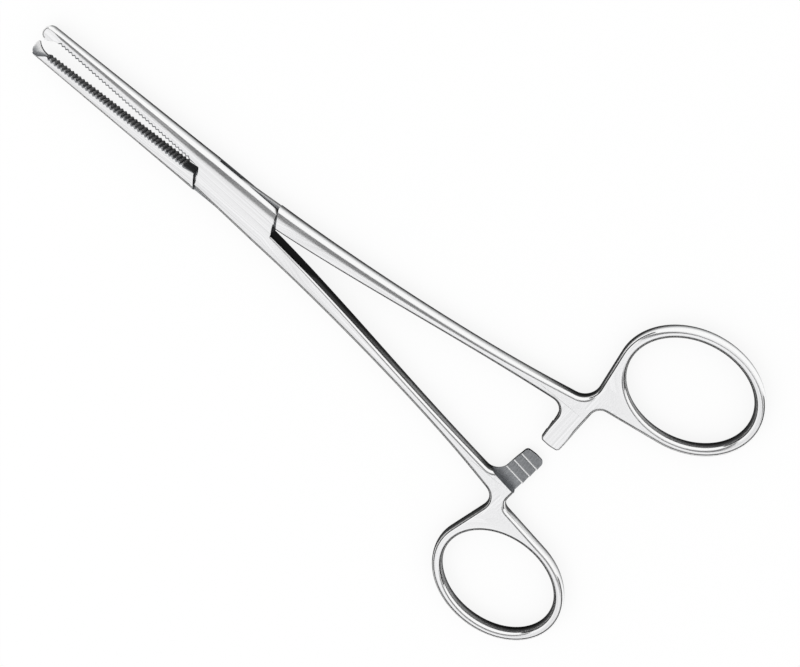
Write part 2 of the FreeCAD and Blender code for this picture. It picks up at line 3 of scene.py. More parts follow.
import bpy
import numpy as np
from bpy.props import FloatProperty, FloatVectorProperty, IntProperty, PointerProperty
from mathutils.geometry import tessellate_polygon
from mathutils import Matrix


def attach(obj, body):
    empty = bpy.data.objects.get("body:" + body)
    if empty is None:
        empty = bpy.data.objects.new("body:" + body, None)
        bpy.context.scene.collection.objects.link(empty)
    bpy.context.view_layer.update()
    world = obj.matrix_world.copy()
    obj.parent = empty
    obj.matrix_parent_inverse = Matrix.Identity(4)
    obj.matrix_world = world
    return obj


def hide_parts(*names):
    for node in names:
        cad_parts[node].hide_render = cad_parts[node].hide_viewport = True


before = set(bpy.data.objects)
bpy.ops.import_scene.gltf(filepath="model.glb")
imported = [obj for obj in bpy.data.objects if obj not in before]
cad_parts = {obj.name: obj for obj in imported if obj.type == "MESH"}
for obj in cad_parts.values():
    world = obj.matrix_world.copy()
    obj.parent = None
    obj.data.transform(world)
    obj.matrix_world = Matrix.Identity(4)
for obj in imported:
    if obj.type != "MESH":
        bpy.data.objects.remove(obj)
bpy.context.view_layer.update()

bl_info = {
    "name": "Artery Forceps",
    "version": (1, 0, 0),
    "blender": (4, 5, 0),
    "location": "View3D > Sidebar > Forceps",
    "description": "Builds the steel arms of straight box-lock artery forceps and the table they lie on",
    "category": "Object",
}

# Both arms are worked out in millimetres, closed, each in its own frame: its jaw on -Y, its shank on +Y
# and its middle plane at height zero. Then they take their place in the frame, in metres.
METRE = 1000.0
# The tops stay level this far past the lock's ends, and the shank's curves begin this far inside them.
LEVEL_PAST = 1.0
SHANK_INSIDE = 1.0
# From the lock on, the jaw's bevel and crown pass over this length into shares of the width of the steel,
# the bevel's foot lies at a share of the half height, and the back grows round.
JAW_BLEND = 5.0
JAW_BEVEL = 0.34
JAW_CROWN = 0.42
JAW_DROP = 0.674
JAW_ROUND = 0.4
# At least this share of a pitch stays free between the last serration and the slope of the tip teeth.
FREE_OF_TEETH = 0.3
# The edges beside the serrations are broken by this width and height.
BROKEN_WIDTH = 0.25
BROKEN_DROP = 0.35
# How round the bevels of ring and ratchet tongue are; the shank's grow as round on their way there.
RING_ROUND = 0.3
# A cut face starts this many widths of the lock's bevel away from the lock's side.
CLEAR_OF_BEVEL = 1.6
# The ratchet tongue's end stands out by this much in its middle, rounded with this radius.
TONGUE_BULGE = 0.25
TONGUE_END = 8.0
# A ratchet tooth's crest is a narrow land, and behind it the tooth drops within this distance.
CREST_LAND = 0.1
CREST_FALL = 0.12
# The grinding lines come to follow the shank's middle within this distance of the lock, and round a ring
# they are as wide as elsewhere at about this half axis of the hole.
LINES_BEND = 12.0
RING_LINES = 12
# How bright the serrations are painted at the bottom of their grooves and on their crests: partly wear, partly
# a painted highlight on the crests.
GROOVE_WEAR_AND_LIGHT = 0.86
CREST_WEAR_AND_LIGHT = 0.98
# Shares of the way over the crown, across the bevel and down the wall to the middle plane, row by row.
CROWN_ROWS = np.concatenate([np.linspace(0, 1, 5), np.ones(9)])
BEVEL_ROWS = np.concatenate([np.zeros(4), np.linspace(0, 1, 7), np.ones(3)])
WALL_ROWS = np.concatenate([np.zeros(10), np.linspace(0, 1, 4)])
# A crown falls by this share of its width, which tilts the flat by 19 degrees where it meets the bevel.
CROWN_FALL = math.tan(math.radians(19)) / 2
# Beside every bevel the flat has at least this much crown, so that its shading starts level.
MIN_CROWN = 0.12
# A bevel is the part of an ellipse's quarter from this angle on, so that it starts as steep as the crown.
BEVEL_START = math.radians(11)
# The poles of a round back's cubic: the second keeps this share of the inset at full height, and the
# third stands over the wall at this share of the half height.
TOP_HANDLE = 0.42
SIDE_HANDLE = 0.72
# Faces that turn by more than this from one to the next meet in a sharp edge, and a face whose normal is
# this upright is level and is shaded flat.
SHARP_TURN = math.radians(28)
LEVEL_NORMAL = 0.9995
# The dark wall stands round the table and reaches 34 degrees above it as the forceps see it.
WALL_RADIUS = 1.5
WALL_HEIGHT = 1.0
WALL_STEPS = 80
# The camera stands where the photograph was taken from: its place and its turn in the frame.
CAMERA_PLACE = (0.016548, 0.092947, 0.245877)
CAMERA_TURN = (-19.7375, 9.0080, 38.8772)
CAMERA_LENS = 58.5


def length(name, millimetres, description):
    """A size in a property group, written in millimetres and kept in metres."""
    return FloatProperty(name=name, description=description, default=millimetres / METRE,
                         unit="LENGTH", precision=5)


def angle(name, degrees, description):
    """An angle in a property group, written in degrees."""
    return FloatProperty(name=name, description=description, default=math.radians(degrees), subtype="ANGLE")


def paint(name, hex_value, description):
    """A colour in a property group, written as an sRGB hex value."""
    return FloatVectorProperty(name=name, description=description, default=linear(hex_value),
                               size=4, subtype="COLOR", min=0, max=1)


def linear(hex_value):
    """An sRGB hex value as a linear colour with full alpha."""
    parts = [int(hex_value[i:i + 2], 16) / 255 for i in (1, 3, 5)]
    return tuple(p / 12.92 if p <= 0.04045 else ((p + 0.055) / 1.055) ** 2.4 for p in parts) + (1.0,)


class ForcepsShape(bpy.types.PropertyGroup):
    """Sizes of the two arms."""
    opening: angle("Opening", 4.5, "Angle between the arms at rest")
    lock_thickness: length("Lock thickness", 4.6, "Height of the box lock")
    lock_front: length("Lock front", 3.7, "Half width of the lock at the jaws")
    lock_rear: length("Lock rear", 4.35, "Half width of the lock at the shanks")
    lock_reach: length("Lock reach", 8.7, "Hinge axis to the oblique ends of the box plates")
    lock_skew: angle("Lock skew", 27.5, "Slope of those ends")
    lock_bevel: length("Lock bevel", 0.95, "Width of the bevel along the lock")
    lock_drop: length("Lock bevel drop", 1.45, "Height of the bevel along the lock")
    crown: length("Crown", 1.6, "Width of the flat's rounding beside the bevel along the lock")
    end_hollow: length("End hollow", 0.15, "How far the oblique ends of the box plates are hollowed")
    end_relief: length("End relief", 0.4, "How far the inner corners of those ends are eased back")
    slot_height: length("Slot height", 1.5, "Opening between the two box plates")
    slot_radius: length("Slot radius", 8.2, "Hinge axis to the curved ends of the slot")
    slot_gap: length("Slot gap", 0.04, "Running gap above and below the tongue")
    shoulder_gap: length("Shoulder gap", 0.12, "Running gap at the shoulders")
    neck: length("Neck", 4.3, "Half width of the tongue inside the box")
    jaw_length: length("Jaw length", 49.2, "Hinge axis to the tips")
    jaw_tip_depth: length("Jaw tip depth", 1.55, "Parting line to the back of the jaw at the tip")
    jaw_tip_thickness: length("Jaw tip thickness", 2.7, "Height of the jaw at the tip")
    heel_gap: length("Heel gap", 0.8, "Gap between the closed jaws at their heel")
    bite_gap: length("Bite gap", 0.1, "Gap between the closed jaws behind the teeth")
    serration_pitch: length("Serration pitch", 0.85, "Spacing of the cross serrations")
    serration_depth: length("Serration depth", 0.34, "Depth of the cross serrations")
    serration_start: length("Serration start", 3.4, "End of the lock to the first serration")
    tooth_height: length("Tooth height", 1.2, "Height of the tip teeth")
    tooth_length: length("Tooth length", 2.3, "Length of the slope behind the tip teeth")
    tooth_root: length("Tooth root", 0.55, "Half thickness of the single tooth at its root")
    tooth_crest: length("Tooth crest", 0.18, "Half thickness of the single tooth at its crest")
    tooth_gap: length("Tooth gap", 0.07, "Clearance round the closed teeth")
    twin_inset: length("Twin crest", 1.3, "Tip to the crest of the two teeth")
    single_inset: length("Single crest", 0.55, "Tip to the crest of the single tooth")
    nose_foot: length("Nose foot", 1.7, "Length of the rounding under the tip")
    shank_length: length("Shank length", 73.2, "Hinge axis to the hub of ring and ratchet")
    shank_root: length("Shank root", 0.3, "Parting line to the inner edge of the shank at the lock")
    shank_widths: FloatVectorProperty(
        name="Shank widths", description="Width of the shank at its four sections", size=4, unit="LENGTH",
        default=(0.00341, 0.00255, 0.00247, 0.00322))
    shank_offsets: FloatVectorProperty(
        name="Shank offsets", description="Parting line to the middle of the shank at those sections",
        size=4, unit="LENGTH", default=(0.00317, 0.00525, 0.00705, 0.00878))
    shank_shares: FloatVectorProperty(
        name="Shank shares", description="Where the sections lie, as shares of the shank", size=4,
        default=(0.22, 0.55, 0.79, 1.0))
    inner_bevel: length("Inner bevel", 0.35, "Width of the bevel inside the shank at the lock")
    inner_drop: length("Inner bevel drop", 0.45, "Height of that bevel")
    ring_thickness: length("Ring thickness", 3.4, "Height of the finger rings")
    ring_bevel: length("Ring bevel", 0.9, "Width of the bevel along ring and ratchet")
    ring_drop: length("Ring bevel drop", 1.2, "Height of that bevel")
    ring_length: length("Ring length", 26.85, "Finger hole, long way")
    ring_breadth: length("Ring breadth", 20.5, "Finger hole, short way")
    ring_wire: length("Ring wire", 2.25, "Width of the ring wire")
    ring_ahead: length("Ring ahead", 20.57, "End of the shank to the middle of the hole, lengthwise")
    ring_aside: length("Ring aside", 16.88, "Middle of the shank's end to the middle of the hole, sideways")
    ring_tilt: angle("Ring tilt", 3.65, "Slope of the long axis of the hole")
    hub_outer: length("Outer hub radius", 3.4, "Rounding where the shank meets the ring")
    hub_inner: length("Inner hub radius", 2.8, "Rounding where the shank meets the ratchet tongue")
    hub_rear: length("Rear hub radius", 2.2, "Rounding where the ratchet tongue meets the ring")
    hub_rear_aside: length("Rear hub aside", 2.77, "Middle of the shank's end to the rear corner")
    hub_outer_ahead: length("Outer hub ahead", 6.7, "End of the shank to the outer edge of the hub")
    hub_outer_aside: length("Outer hub aside", 5.29, "Middle of the shank's end to that edge")
    ratchet_ahead: length("Ratchet ahead", 6.58, "End of the shank to the middle of the ratchet tongue")
    ratchet_width: length("Ratchet width", 4.6, "Width of the ratchet tongue")
    ratchet_round: length("Ratchet rounding", 0.9, "Rounding of the corners of the ratchet tongue")
    ratchet_flare: length("Ratchet flare", 0.65, "Spread of its front edge towards the shank")
    ratchet_reach: length("Ratchet reach", 1.0, "How far the tongue passes the parting line")
    ratchet_pitch: length("Ratchet pitch", 2.15, "Spacing of the ratchet teeth")
    ratchet_rise: length("Ratchet rise", 0.55, "Height of the ratchet teeth")
    ratchet_first: length("Ratchet first", 0.94, "Parting line to the first crest")
    ratchet_gap: length("Ratchet gap", 0.05, "Middle plane to the crests")
    ratchet_slant: angle("Ratchet slant", 6, "Slope of the crests")
    ratchet_teeth: IntProperty(name="Ratchet teeth", description="Number of ratchet teeth", default=3)


class ForcepsFinish(bpy.types.PropertyGroup):
    """Colours and grain of the steel and of the table."""
    flat: paint("Ground flats", "#F2F2F3", "Satin steel, ground lengthwise")
    bevel: paint("Bevels", "#FAFAFA", "The same steel where it is smoother and brighter")
    # The side walls' darker tone is partly a duller finish and partly painted shade on the upright sides.
    wall: paint("Side walls", "#E4E5E6", "Satin steel that the belt does not reach")
    groove: paint("Cut teeth", "#A2A4A7", "Steel left by the milling cutter")
    table: paint("Table", "#FFFFFF", "The pale floor")
    line_spacing: length("Line spacing", 0.35, "Width of a grinding line as drawn")
    edge_radius: length("Edge radius", 0.1, "Rounding of the broken edges")


def mm(*names):
    """Sizes of the shape in millimetres: one, or one for each name."""
    values = [np.array(getattr(bpy.context.scene.forceps_shape, name)) * METRE for name in names]
    return values if len(values) > 1 else values[0]


def plain(name):
    """An angle, a row of shares or a count of the shape, as it is kept."""
    return getattr(bpy.context.scene.forceps_shape, name)


def unit(way):
    """A vector, or each vector of a row, at length one."""
    return way / np.linalg.norm(way, axis=-1, keepdims=True)


def left_of(way):
    """The unit vector to the left of a way in plan, or of each way of a row."""
    way = unit(way)
    return np.stack([-way[..., 1], way[..., 0]], axis=-1)


def points(x, y):
    """Points in plan from their two coordinates."""
    return np.stack([x, y], axis=-1)


def heading(turn):
    """The unit vector in plan at an angle, or one for each angle."""
    return points(np.cos(turn), np.sin(turn))


# One station of an arm's outline: where it is, the way to the inside, how wide and deep its bevel is, the
# half height of the steel there, how round the bevel is (0 a plane, 1 a half-round back), whether the
# station is on a face cut by a milling tool, and how far inside the bevel the flat starts to round off.
STATION = np.dtype([("at", float, 2), ("inward", float, 2), ("width", float), ("drop", float),
                    ("half", float), ("round", float), ("cut", float), ("crown", float)])


def stations(at, width, drop, half, roundness=0.0, cut=0.0, crown=0.0):
    """Stations along the points of one stretch; the way inside is the stretch's left-hand normal."""
    made = np.zeros(len(at), STATION)
    inward = left_of(np.gradient(at, axis=0))
    for field, value in zip(STATION.names, (at, inward, width, drop, half, roundness, cut, crown)):
        made[field] = value
    return made


def turn_inward(made, index, way):
    """At one end of a stretch the bevel stops on a cut face: it goes inside along that face instead."""
    way = unit(way)
    made["inward"][index] = way / way.dot(made["inward"][index])


def straight(start, end, step=0.5):
    """Points from start to end: start plus an even share of the way."""
    count = max(2, int(np.linalg.norm(end - start) / step) + 1)
    return start + (end - start) * np.linspace(0, 1, count)[:, None]


def meet(point, run, other, other_run):
    """Where two lines in the plane cross."""
    share = np.linalg.solve(np.stack([run, -np.array(other_run)], axis=1), np.array(other) - point)
    return point + run * share[0]


def fillet(before, corner, after, radius, count=14):
    """Points on the arc that rounds a corner: its centre plus the radius turned evenly."""
    back, ahead = unit(before - corner), unit(after - corner)
    half_turn = math.acos(back.dot(ahead)) / 2
    centre = corner + unit(back + ahead) * radius / math.sin(half_turn)
    reach = radius / math.tan(half_turn)
    start, end = corner + back * reach - centre, corner + ahead * reach - centre
    share = np.linspace(0, 1, count)[:, None]
    sweep = math.acos(np.clip(start.dot(end) / radius ** 2, -1, 1))
    return centre + (start * np.sin((1 - share) * sweep) + end * np.sin(share * sweep)) / math.sin(sweep)


def bezier(poles, count=10):
    """Points on a Bezier curve: the poles weighted by powers of the share."""
    share = np.linspace(0, 1, count)[:, None]
    degree = len(poles) - 1
    weights = [math.comb(degree, i) * share ** i * (1 - share) ** (degree - i) for i in range(degree + 1)]
    return sum(w * np.array(p, float) for w, p in zip(weights, poles))


def ring_axes(margin):
    """The finger hole's ellipse, grown by a margin: its centre and its two half axes."""
    way = heading(plain("ring_tilt"))
    centre = np.array([mm("shank_length") + mm("ring_ahead"), mm("shank_offsets")[3] + mm("ring_aside")])
    return centre, way * (mm("ring_length") / 2 + margin), left_of(way) * (mm("ring_breadth") / 2 + margin)


def ring_points(margin, start, end, count=150):
    """Points on that ellipse: its centre plus its axes times the cosine and sine of the parameter."""
    centre, along, across = ring_axes(margin)
    angle = np.linspace(start, end, count)[:, None]
    return centre + along * np.cos(angle) + across * np.sin(angle)


def tangent(margin, point, way):
    """The parameter where a straight line from an outside point touches the ellipse."""
    centre, along, across = ring_axes(margin)
    u = (point - centre).dot(along) / along.dot(along)
    v = (point - centre).dot(across) / across.dot(across)
    return math.atan2(v, u) + way * math.acos(1 / math.hypot(u, v))


def jaw_line(x):
    """How far the jaw's flat face stands off the parting line, evenly from the heel gap to the bite gap."""
    reach, heel_gap, bite_gap = mm("lock_reach", "heel_gap", "bite_gap")
    share = (x + reach) / (reach - mm("jaw_length"))
    return (heel_gap + share * (bite_gap - heel_gap)) / 2


def lock_side(x):
    """Half width of the lock, which widens evenly from the jaws to the shanks."""
    front, rear, reach = mm("lock_front", "lock_rear", "lock_reach")
    return front + (rear - front) * (x + reach) / (2 * reach)


def jaw_back(x):
    """Parting line to the back of the jaw, even from the lock to the tip."""
    reach, tip, depth = mm("lock_reach", "jaw_length", "jaw_tip_depth")
    return depth + (lock_side(-reach) - depth) * (x + tip) / (tip - reach)


def half_at(x):
    """Half thickness of an arm: level over the lock, and from there even to the tip and to the ring."""
    level = mm("lock_reach") + LEVEL_PAST
    tip, lock, ring = (size / 2 for size in mm("jaw_tip_thickness", "lock_thickness", "ring_thickness"))
    return np.interp(x, [-mm("jaw_length"), -level, level, mm("shank_length")], [tip, lock, lock, ring])


def shank_share(x):
    """How far a place is along the shank's curves, as a share."""
    start = mm("lock_reach") - SHANK_INSIDE
    return (x - start) / (mm("shank_length") - start)


def shank_edges(x):
    """Outer and inner edge of the shank: smooth curves through its sections."""
    root_out, root_in = lock_side(mm("lock_reach") - SHANK_INSIDE), mm("shank_root")
    share = np.concatenate([[0], plain("shank_shares")])
    middle = np.concatenate([[(root_out + root_in) / 2], mm("shank_offsets")])
    width = np.concatenate([[root_out - root_in], mm("shank_widths")])
    middle, width = (np.polyval(np.polyfit(share, row, 4), shank_share(x)) for row in (middle, width))
    return middle + width / 2, middle - width / 2


def along_shank(x, start, end):
    """A size that changes evenly from the lock to the ring."""
    return start + (end - start) * np.clip(shank_share(x), 0, 1)


def oblique(rear, y):
    """The point at height y on an oblique end of the box plates."""
    skew = plain("lock_skew")
    reach = mm("lock_reach") * (1 if rear else -1)
    return np.array([(reach + y * math.sin(skew)) / math.cos(skew), y])


def on_side(point, run, way):
    """Where a line meets the side of the lock on +Y (way 1) or on -Y (way -1)."""
    return meet(point, run, [0, way * lock_side(0)], [1, way * (lock_side(1) - lock_side(0))])


def lock_ends(tongue):
    """Corners of the arm's two ends in the lock, front from +Y down and rear from -Y up.

    The box arm ends obliquely, along the other arm's shoulders, and the tongue arm narrows to its neck.
    """
    reach, root, neck = mm("lock_reach", "shank_root", "neck")
    skew = plain("lock_skew")
    front_y = -jaw_line(-reach)
    if not tongue:
        slope = np.array([math.sin(skew), math.cos(skew)])
        relief = np.array([mm("end_relief"), 0])
        return ([on_side(oblique(False, 0), slope, 1), oblique(False, front_y) + relief],
                [on_side(oblique(True, 0), slope, -1), oblique(True, root) - relief])
    run = heading(skew)
    side = left_of(run) * neck
    radius = mm("slot_radius") - 3 * mm("shoulder_gap")
    chord = run * math.sqrt(radius ** 2 - neck ** 2)
    return ([on_side(side, run, 1), side - chord, np.array([-reach, front_y])],
            [on_side(-side, run, -1), chord - side, np.array([reach, root])])


def cut_face(corners, first_gap, last_gap, half, hollow):
    """Stations over a face cut square across, from corner to corner, clear of the bevels at its ends.

    A hollow lets the middle of a straight face in by that much, as a parabola.
    """
    first = corners[0] + unit(corners[1] - corners[0]) * first_gap
    last = corners[-1] + unit(corners[-2] - corners[-1]) * last_gap
    at = np.array([first] + corners[1:-1] + [last])
    if hollow:
        share = np.linspace(0, 1, 12)[:, None]
        at = first + (last - first) * share + left_of(last - first) * hollow * 4 * share * (1 - share)
    return stations(at, 0.0, half / 2, half, cut=1.0)


def tooth_foot():
    """Where the slope behind the tip teeth starts."""
    return -mm("jaw_length") + mm("twin_inset") + mm("tooth_length")


def tooth_slope():
    """The slope behind the box arm's two teeth, from its foot to their crest: half a wave."""
    share = np.linspace(0, 1, 12)
    return points(tooth_foot() - mm("tooth_length") * share,
                  mm("tooth_height") * (1 - np.cos(math.pi * share)) / 2)


def jaw_stations(tongue, front):
    """The jaw's outline from the lock along its serrations to the tip, and back along its round back."""
    tip, reach, foot = -mm("jaw_length"), mm("lock_reach"), tooth_foot()
    pitch, depth, rise = mm("serration_pitch", "serration_depth", "tooth_height")
    heel = -reach - mm("serration_start")
    half_steps = np.arange(2 * int((heel - foot) / pitch - FREE_OF_TEETH) + 1)
    x = heel - half_steps * pitch / 2
    on_crest = (half_steps % 2 == 1) == tongue
    serrated = points(x, -jaw_line(x) + np.where(on_crest, depth, -depth) / 2)
    if tongue:
        crest = np.array([tip + mm("single_inset"), rise + mm("bite_gap")])
        climb = bezier([[foot, -jaw_line(foot)], [foot - depth, -jaw_line(foot)],
                        [crest[0] + 0.9, -0.2], crest])
    else:
        crest = np.array([tip + mm("twin_inset"), rise])
        climb = tooth_slope()
    # The inner face starts beside the arm's end in the lock, and its edges aren't broken there or on the teeth.
    start = front[-1] + np.array([-0.05, 0])
    inner = np.concatenate([straight(start, serrated[0], 2.0)[:-1], serrated, climb])
    broken = np.clip(start[0] - inner[:, 0], 0, 1) * np.clip((inner[:, 0] - foot) / 0.5, 0, 1)
    inner_face = stations(inner, BROKEN_WIDTH * broken, BROKEN_DROP, half_at(inner[:, 0]), cut=1.0)

    nose = np.array([tip, -mm("jaw_tip_depth") / 10])
    under = np.array([tip + mm("nose_foot"), -jaw_back(tip + mm("nose_foot"))])
    over_nose = bezier([crest, [tip, crest[1]], nose])
    round_nose = bezier([nose, [tip, under[1]], under], 14)
    rounding = np.concatenate([over_nose[1:], round_nose[1:-1]])
    share, half = np.linspace(0, 1, len(rounding)), half_at(rounding[:, 0])
    # The bevel over the nose grows from the tooth's crest to the jaw's back.
    width = 0.05 + 0.4 * share ** 2 if tongue else 0.4 + 0.1 * share
    nose_face = stations(rounding, width, half * (0.3 + 0.37 * share), half)

    x = np.linspace(under[0], -reach - 0.5, 90)
    blend = np.clip((x[-1] - x) / JAW_BLEND, 0, 1)
    steel = jaw_back(x) - jaw_line(x) - depth / 2
    width, crown = (size + (part * steel - size) * blend
                    for size, part in ((mm("lock_bevel"), JAW_BEVEL), (mm("crown"), JAW_CROWN)))
    crown *= np.clip((x - under[0]) / 2, 0, 1)
    back_face = stations(points(x, -jaw_back(x)), width, half_at(x) * JAW_DROP, half_at(x),
                         JAW_ROUND * blend, crown=crown)
    return [inner_face, nose_face, back_face]


def hub_points(inner, outer):
    """Points round ratchet tongue and ring, from the end of the shank's inner edge to its outer edge."""
    shank_end, end, tip = mm("shank_length"), mm("shank_offsets")[3], -mm("ratchet_reach")
    middle, wire, corner_radius = shank_end + mm("ratchet_ahead"), mm("ring_wire"), mm("ratchet_round")
    front_x, rear_x = (middle + way * mm("ratchet_width") / 2 for way in (-1, 1))
    front_corner, rear_corner = np.array([front_x, tip]), np.array([rear_x, tip])
    flare = np.array([-mm("ratchet_flare"), inner[-1][1] - tip])
    inner_corner = meet(front_corner, flare, inner[-1], inner[-1] - inner[-2])
    rear_neck = np.array([rear_x, end + mm("hub_rear_aside")])
    outer_neck = np.array([shank_end + mm("hub_outer_ahead"), end + mm("hub_outer_aside")])
    low, high = tangent(wire, rear_neck, 1), tangent(wire, outer_neck, -1)
    high += 2 * math.pi if high < low else 0
    ring = ring_points(wire, low, high)
    outer_corner = meet(outer[0], outer[0] - outer[1], outer_neck, outer_neck - ring[-1])
    end_middle = np.array([middle, tip - TONGUE_BULGE])
    inner_arc = fillet(inner[-1], inner_corner, front_corner, mm("hub_inner"))
    front_arc = fillet(inner_arc[-1], front_corner, end_middle, corner_radius)
    end_arc = fillet(front_arc[-1], end_middle, rear_corner, TONGUE_END)
    rear_arc = fillet(rear_corner, rear_neck, ring[0], mm("hub_rear"))
    tip_arc = fillet(end_arc[-1], rear_corner, rear_arc[0], corner_radius)
    outer_arc = fillet(ring[-1], outer_corner, outer[0], mm("hub_outer"))
    return np.concatenate([
        inner_arc, straight(inner_arc[-1], front_arc[0])[1:-1], front_arc, end_arc[1:-1], tip_arc,
        straight(tip_arc[-1], rear_arc[0])[1:-1], rear_arc, straight(rear_arc[-1], ring[0])[1:-1],
        ring, straight(ring[-1], outer_arc[0])[1:-1], outer_arc])


def arm_outline(tongue):
    """The whole outline of an arm, anticlockwise from the root of the shank's inner edge."""
    lock_half, ring_half = mm("lock_thickness") / 2, mm("ring_thickness") / 2
    lock_bevel, lock_drop, crown = mm("lock_bevel", "lock_drop", "crown")
    bevel, drop = mm("ring_bevel", "ring_drop")
    front, rear = lock_ends(tongue)
    reach, shank_end = mm("lock_reach", "shank_length")

    x = np.linspace(rear[-1][0], shank_end, 140)
    inner_face = stations(
        points(x, shank_edges(x)[1]), along_shank(x, mm("inner_bevel"), bevel),
        along_shank(x, mm("inner_drop"), drop), half_at(x), along_shank(x, 0, RING_ROUND))
    turn_inward(inner_face, 0, rear[-1] - rear[-2])
    x = np.linspace(shank_end, reach - SHANK_INSIDE, 140)
    outer_face = stations(
        points(x, shank_edges(x)[0]), along_shank(x, lock_bevel, bevel), along_shank(x, lock_drop, drop),
        half_at(x), along_shank(x, 0, RING_ROUND), crown=along_shank(x, crown, 0.0))

    hub = hub_points(inner_face["at"], outer_face["at"])
    # The bevel gets narrower along the ratchet tongue, from 5 mm off the parting line to 2 mm.
    on_tongue = np.clip((5 - hub[:, 1]) / 3, 0, 1)
    hub_face = stations(hub, bevel * (1 - 0.45 * on_tongue), drop * (1 - 0.5 * on_tongue),
                        ring_half, RING_ROUND)

    # Each side of the lock runs on from the shank's outer edge, or from the jaw's back, to an end of the arm,
    # whose cut face starts clear of the bevel.
    sides, cuts = [], []
    for start, corners, way, last_gap in ((reach - 1.2, front, 1, 0.0), (-reach + 0.3, rear, -1, 0.15)):
        x = np.linspace(start, corners[0][0], 24)
        side = stations(points(x, way * lock_side(x)), lock_bevel, lock_drop, lock_half, crown=crown)
        turn_inward(side, -1, corners[1] - corners[0])
        sides.append(side)
        hollow = 0.0 if tongue else mm("end_hollow")
        cuts.append(cut_face(corners, CLEAR_OF_BEVEL * lock_bevel, last_gap, lock_half, hollow))
    return np.concatenate([inner_face[:-1], hub_face, outer_face[1:], sides[0], cuts[0]]
                          + jaw_stations(tongue, front) + [sides[1], cuts[1]])


def carry_profile(outline):
    """The edge profile carried round an outline: rows of points from the top to the underside.

    A bevelled station goes from its full inset at the top to no inset at the bevel's foot along an
    ellipse, and then straight down. A round one follows a cubic curve that leaves the top level and
    arrives upright. Inside the bevel the crown falls with the square of the way over it.
    """
    width, drop, half, roundness, crown = (
        outline[n][None, :] for n in ("width", "drop", "half", "round", "crown"))
    over, crown = CROWN_ROWS[:, None], np.maximum(crown, np.minimum(MIN_CROWN, width / 2))
    across, down = BEVEL_ROWS[:, None], WALL_ROWS[:, None]
    angle = BEVEL_START + (math.pi / 2 - BEVEL_START) * across
    plain_inset = width * (1 - np.sin(angle)) / (1 - math.sin(BEVEL_START))
    plain_height = half - drop * (1 - np.cos(angle) / math.cos(BEVEL_START)) - (half - drop) * down
    share = (across * 5 + down * 3) / 8
    left = 1 - share
    round_inset = width * left ** 3 + 3 * TOP_HANDLE * width * share * left ** 2
    round_height = half * (left ** 3 + 3 * share * left ** 2 + 3 * SIDE_HANDLE * share ** 2 * left)
    inset = plain_inset + (round_inset - plain_inset) * roundness + crown * (1 - over)
    height = plain_height + (round_height - plain_height) * roundness
    height -= crown * CROWN_FALL * over ** 2 * (1 - across)
    inset = np.concatenate([inset, inset[-2::-1]])
    height = np.concatenate([height, -height[-2::-1]])
    at = outline["at"][None] + outline["inward"][None] * inset[..., None]
    return np.concatenate([at, height[..., None]], axis=2)


def tube(rows):
    """The walls between rows of points, as quads, with the body on the left of each row."""
    row_count, count = rows.shape[:2]
    index = np.arange(row_count * count).reshape(row_count, count)
    after = np.roll(index, -1, axis=1)
    return np.stack([index[:-1], index[1:], after[1:], after[:-1]], axis=2).reshape(-1, 4)


def build_mesh(name, vertices, faces, finish):
    """A mesh from one array of corners, faces as lists of indices, and a finish number for each face."""
    mesh = bpy.data.meshes.new(name)
    mesh.from_pydata(vertices, [], faces)
    mesh.polygons.foreach_set("material_index", np.array(finish, np.int32))
    mesh.update()
    return mesh


def split_rim(x):
    """The points of a level top's rim in fields: over jaw, lock and shank.

    Only each field by itself is flat, because the jaw and the shank get thinner away from the lock.
    """
    level = mm("lock_reach") + LEVEL_PAST
    fields = [np.arange(len(x))]
    for cut in (-level, level):
        field = fields.pop()
        beyond = x[field] < cut
        changes = np.flatnonzero(beyond != np.roll(beyond, -1))
        if len(changes) != 2:
            return [np.arange(len(x))]
        first, last = sorted(i if abs(x[field[i]]) < level else (i + 1) % len(field) for i in changes)
        parts = [field[first:last + 1], np.concatenate([field[last:], field[:first + 1]])]
        fields += sorted(parts, key=lambda part: x[part].max())
    return fields


def swept_solid(name, outer, hole):
    """A closed body: the profile carried round the outline and round the hole, with flat tops between."""
    loops, ids, faces, finish = [], [], [], []
    for outline in (outer, hole):
        loop, first = carry_profile(outline), sum(i.size for i in ids)
        loops.append(loop)
        ids.append(first + np.arange(loop[..., 0].size).reshape(loop.shape[:2]))
        faces += (tube(loop) + first).tolist()
        finish += np.tile(outline["cut"] + np.roll(outline["cut"], -1) > 1, len(loop) - 1).tolist()
    for row, flip in ((0, False), (-1, True)):
        fields = split_rim(loops[0][row][:, 0])
        for field in fields:
            rims, corners = [loops[0][row][field]], [ids[0][row][field]]
            if field is fields[-1]:
                rims.append(loops[1][row])
                corners.append(ids[1][row])
            triangles = np.array(tessellate_polygon([[(x, y, 0) for x, y, _ in rim] for rim in rims]))
            a, b, c = np.concatenate(rims)[triangles].transpose(1, 2, 0)
            area = (b - a)[0] * (c - a)[1] - (b - a)[1] * (c - a)[0]
            triangles = np.where(((area > 0) != flip)[:, None], triangles, triangles[:, ::-1])
            faces += np.concatenate(corners)[triangles].tolist()
            finish += [0] * len(triangles)
    return build_mesh(name, np.concatenate([loop.reshape(-1, 3) for loop in loops]), faces, finish)


def tool_between(name, start, end):
    """A closed tool between an outline in space and the same outline moved or changed."""
    count = len(start)
    around = np.arange(count)
    after = np.roll(around, -1)
    faces = np.stack([around, after, after + count, around + count], axis=1).tolist()
    faces += [around[::-1].tolist(), (around + count).tolist()]
    return outward(build_mesh(name, np.concatenate([start, end]), faces, [1] * len(faces)))


def slab(name, outline, low, high):
    """A closed tool over a plan outline, between two heights or two rows of heights."""
    return tool_between(name, *(np.column_stack([outline, np.broadcast_to(height, len(outline))])
                                for height in (low, high)))


def read_field(elements, field):
    """One field of a mesh's elements, as rows of three numbers."""
    values = np.zeros(len(elements) * 3, np.float32)
    elements.foreach_get(field, values)
    return values.reshape(-1, 3).astype(float)


